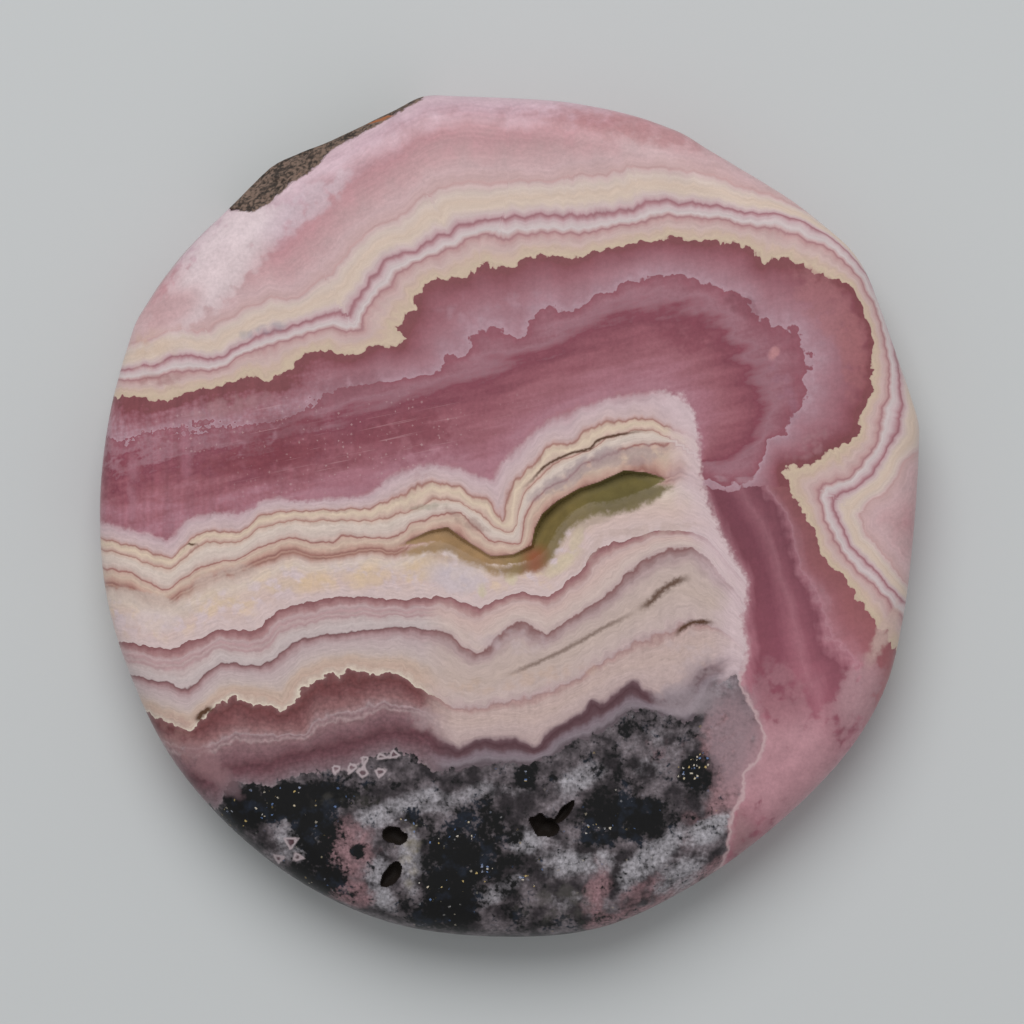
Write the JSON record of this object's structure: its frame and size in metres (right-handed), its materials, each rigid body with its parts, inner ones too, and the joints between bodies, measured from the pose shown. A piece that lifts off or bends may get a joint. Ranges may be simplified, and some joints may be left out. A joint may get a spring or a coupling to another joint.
{
  "type": "rhodochrosite slice",
  "caption": "Thick round polished slab of pink and red banded stone with a dark mineral margin, rounded face edge, a chipped corner, a small open pocket and a flat sawn back.",
  "frame": {"origin": "under the middle of the slab's outline, on the flat sawn back that it rests on", "axes": "+Z out of the polished face, across the thickness; +Y towards the pale banded edge, away from the dark mineral margin; +X to the right of the face"},
  "size_m": [0.0454, 0.0466, 0.0064],
  "materials": {
    "stone": "polished banded carbonate, pale rose to deep raspberry, with a blue-black sulphide and grey quartz margin; sawn matt back"
  },
  "bodies": {
    "root": {"rhodochrosite_slice": "stone"}
  },
  "joints": []
}
